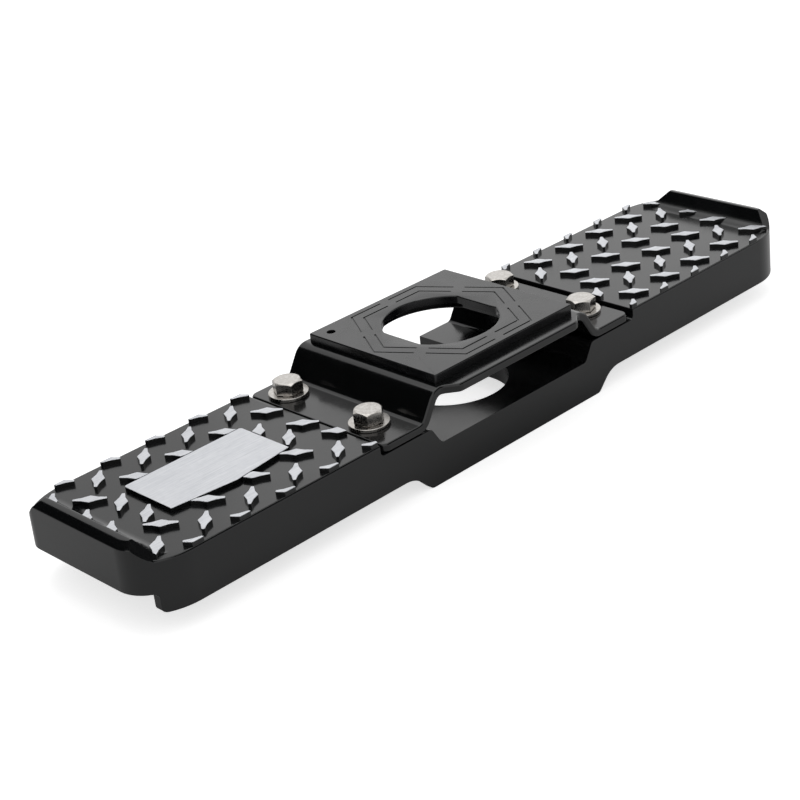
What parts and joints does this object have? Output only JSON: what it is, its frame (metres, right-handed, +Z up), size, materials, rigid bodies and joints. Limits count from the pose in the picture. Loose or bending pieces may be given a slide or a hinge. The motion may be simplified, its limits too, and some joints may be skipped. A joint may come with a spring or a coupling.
{
  "type": "hitch receiver step",
  "caption": "Black step with two lugged tread wings and upturned end lips, clamped onto a ball mount by a bolted strap bracket with a pad and a ball hole.",
  "frame": {"origin": "on the upright axis of the ball hole, level with the lowest edges of the casting", "axes": "+X along the step to the wing without the raised plate, +Y to the side where the floor slot is open, +Z up"},
  "size_m": [0.607, 0.1364, 0.071],
  "materials": {
    "casting": "black powder coat on cast aluminium, lug tops and plate ground bare",
    "strap": "black gloss coat on bent steel strap",
    "pad": "black moulded nylon, satin",
    "fastener": "zinc plated steel",
    "lock_ring": "natural nylon"
  },
  "bodies": {
    "root": {"step_body": "casting", "clamp_bracket": "strap", "top_pad": "pad", "bolt_left_front": "fastener", "bolt_left_back": "fastener", "bolt_right_front": "fastener", "bolt_right_back": "fastener", "head_washer_left_front": "fastener", "head_washer_left_back": "fastener", "head_washer_right_front": "fastener", "head_washer_right_back": "fastener", "nut_washer_left_front": "fastener", "nut_washer_left_back": "fastener", "nut_washer_right_front": "fastener", "nut_washer_right_back": "fastener", "nut_left_front": "fastener", "nut_left_back": "fastener", "nut_right_front": "fastener", "nut_right_back": "fastener", "nut_ring_left_front": "lock_ring", "nut_ring_left_back": "lock_ring", "nut_ring_right_front": "lock_ring", "nut_ring_right_back": "lock_ring"}
  },
  "joints": []
}
